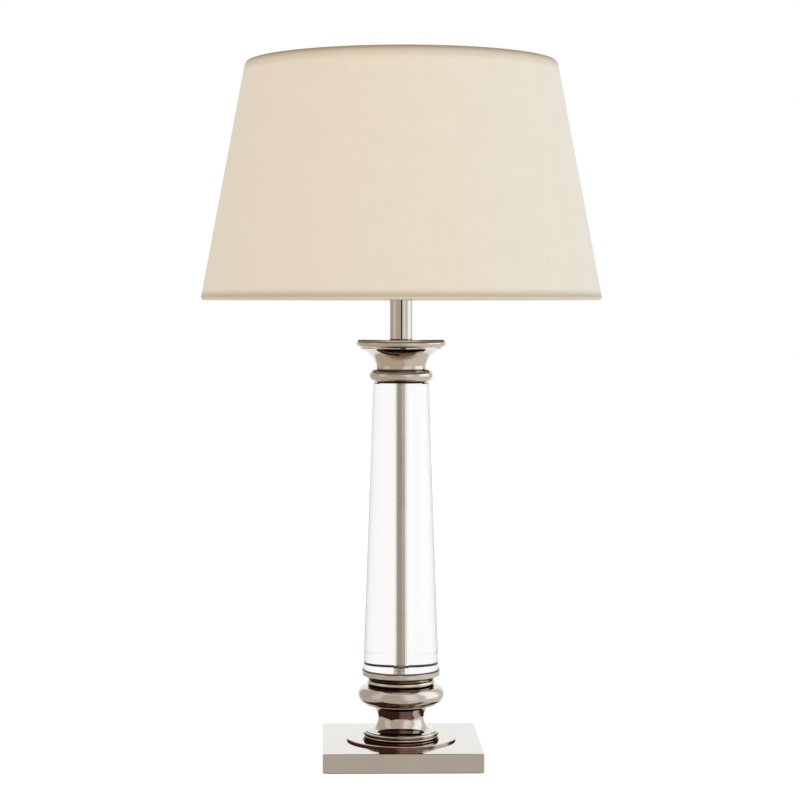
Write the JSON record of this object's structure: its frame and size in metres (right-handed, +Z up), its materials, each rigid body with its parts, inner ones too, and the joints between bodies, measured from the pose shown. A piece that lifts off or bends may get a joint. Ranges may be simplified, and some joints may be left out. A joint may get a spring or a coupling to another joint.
{
  "type": "table lamp",
  "caption": "Candlestick table lamp with a square metal base, tapered crystal column, flared capital and a conical fabric shade.",
  "frame": {"origin": "middle of the underside of the felt pad, on the lamp's axis", "axes": "+Z up along the column, +Y to the back where the cable outlet is, the front faces -Y"},
  "size_m": [0.4499, 0.45, 0.78],
  "materials": {
    "nickel": "polished warm nickel plate, mirror bright on the turnings, slightly softer on the base",
    "felt": "dense wool felt",
    "fibre_board": "smooth hard fibre board",
    "iron": "rough sand casting",
    "bush_rubber": "matt moulded",
    "zinc_steel": "bright zinc plated, threaded",
    "clear_seal": "clear soft seat ring",
    "crystal": "solid optical crystal, polished",
    "holder_plastic": "moulded ivory thermoset, light satin",
    "switch_plastic": "turned black rod, polished ends",
    "porcelain": "white steatite, part glazed",
    "brass": "plain rolled brass",
    "black_glass": "fused black insulator",
    "bulb_metal": "rolled thread cap",
    "opal_glass": "opal white blown glass, satin",
    "white_wire": "white powder coat on steel wire",
    "liner_film": "translucent white shade film",
    "shade_cloth": "fine plain-weave cream cotton laid on the film, hems turned over the wires"
  },
  "bodies": {
    "lamp": {"base_box": "nickel", "foot_disc": "nickel", "foot_flange": "nickel", "pedestal": "nickel", "knop": "nickel", "neck_bead": "nickel", "cup": "nickel", "capital_ring": "nickel", "capital": "nickel", "candle_tube": "nickel", "felt_pad": "felt", "base_cover": "fibre_board", "ballast_plate": "iron", "cable_bush": "bush_rubber", "centre_pipe": "zinc_steel", "pipe_nuts": "zinc_steel", "base_washer": "zinc_steel", "lower_seat_ring": "clear_seal", "upper_seat_ring": "clear_seal", "crystal_column": "crystal", "holder_cap": "holder_plastic", "holder_skirt": "holder_plastic", "lower_shade_ring": "holder_plastic", "contact_block": "porcelain", "terminal_screws": "brass", "thread_sleeve": "brass", "centre_contact": "brass"},
    "shade": {"carrier_hub": "white_wire", "carrier_arms": "white_wire", "shade_bottom_wire": "white_wire", "shade_top_wire": "white_wire", "shade_liner": "liner_film", "shade_fabric": "shade_cloth", "shade_bottom_hem": "shade_cloth", "shade_top_hem": "shade_cloth"},
    "ring_nut": {"upper_shade_ring": "holder_plastic"},
    "bulb": {"bulb_contact": "brass", "bulb_insulator": "black_glass", "bulb_cap": "bulb_metal", "bulb_glass": "opal_glass"},
    "switch": {"switch_bar": "switch_plastic"}
  },
  "joints": [
    {"name": "shade_lift", "type": "slide", "parent": "lamp", "child": "shade", "axis": [0, 0, 1], "range_m": [0, 0.15]},
    {"name": "ring_nut_turn", "type": "hinge", "parent": "shade", "child": "ring_nut", "pos_m": [0, 0, 0.5719], "axis": [0, 0, 1], "range_deg": [0, 1080]},
    {"name": "bulb_out", "type": "slide", "parent": "lamp", "child": "bulb", "axis": [0, 0, 1], "range_m": [0, 0.035]},
    {"name": "switch_press", "type": "slide", "parent": "lamp", "child": "switch", "axis": [1, 0, 0], "range_m": [0, 0.005]}
  ]
}
